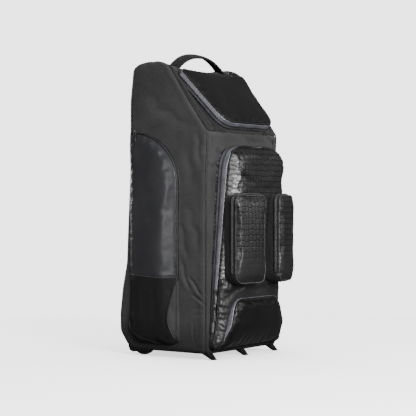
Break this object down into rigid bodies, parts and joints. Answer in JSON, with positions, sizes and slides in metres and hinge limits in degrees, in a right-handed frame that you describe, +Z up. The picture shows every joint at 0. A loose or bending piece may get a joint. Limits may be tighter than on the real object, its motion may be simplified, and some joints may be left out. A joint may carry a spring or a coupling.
{
  "type": "wheeled sports bag",
  "caption": "Tall padded wheeled kit bag with a slanted zipped lid, side pockets, a front pocket carrying two pods and a lower pocket, a carry handle, feet and wheels.",
  "frame": {"origin": "on the floor, under the middle of the bag's bounding box", "axes": "+Z up, the pockets and the lid face -Y, the wheels are at +Y, X across the bag"},
  "size_m": [0.448, 0.4614, 0.9413],
  "materials": {
    "woven_cloth": "matt woven polyester",
    "coated_cloth": "smooth coated cloth with a soft sheen",
    "embossed_cloth": "glossy coated cloth embossed with small tiles",
    "lid_cloth": "smooth half-matt coated cloth",
    "zip_tape": "glossy water-shedding zip tape",
    "zip_metal": "black painted",
    "webbing": "ribbed webbing",
    "moulded_plastic": "moulded black",
    "tyre": "matt black"
  },
  "bodies": {
    "bag": {"back_panel": "woven_cloth", "base_panel": "coated_cloth", "carry_handle": "webbing", "corner_binding_left": "webbing", "corner_binding_right": "webbing", "foot_left": "moulded_plastic", "foot_middle": "moulded_plastic", "foot_right": "moulded_plastic", "front_panel": "woven_cloth", "front_pocket": "embossed_cloth", "front_pull_1": "zip_metal", "front_pull_2": "zip_metal", "front_zip": "zip_tape", "lid": "lid_cloth", "lid_collar": "woven_cloth", "lid_zip": "zip_tape", "lower_pocket": "embossed_cloth", "lower_zip": "zip_tape", "pod_left": "embossed_cloth", "pod_right": "embossed_cloth", "pod_zip_left": "zip_tape", "pod_zip_right": "zip_tape", "side_panel_left": "woven_cloth", "side_panel_right": "woven_cloth", "side_pocket_foot_left": "woven_cloth", "side_pocket_foot_right": "woven_cloth", "side_pocket_left": "coated_cloth", "side_pocket_right": "coated_cloth", "side_pull_left": "zip_metal", "side_pull_right": "zip_metal", "side_zip_left": "zip_tape", "side_zip_right": "zip_tape", "top_panel": "woven_cloth", "wheel_housing_left": "moulded_plastic", "wheel_housing_right": "moulded_plastic"},
    "left_wheel": {"wheel_left": "tyre"},
    "right_wheel": {"wheel_right": "tyre"}
  },
  "joints": [
    {"name": "left_wheel_spin", "type": "hinge", "parent": "bag", "child": "left_wheel", "pos_m": [0, 0.14238, 0.038], "axis": [1, 0, 0], "continuous": true},
    {"name": "right_wheel_spin", "type": "hinge", "parent": "bag", "child": "right_wheel", "pos_m": [0, 0.14238, 0.038], "axis": [1, 0, 0], "continuous": true}
  ]
}
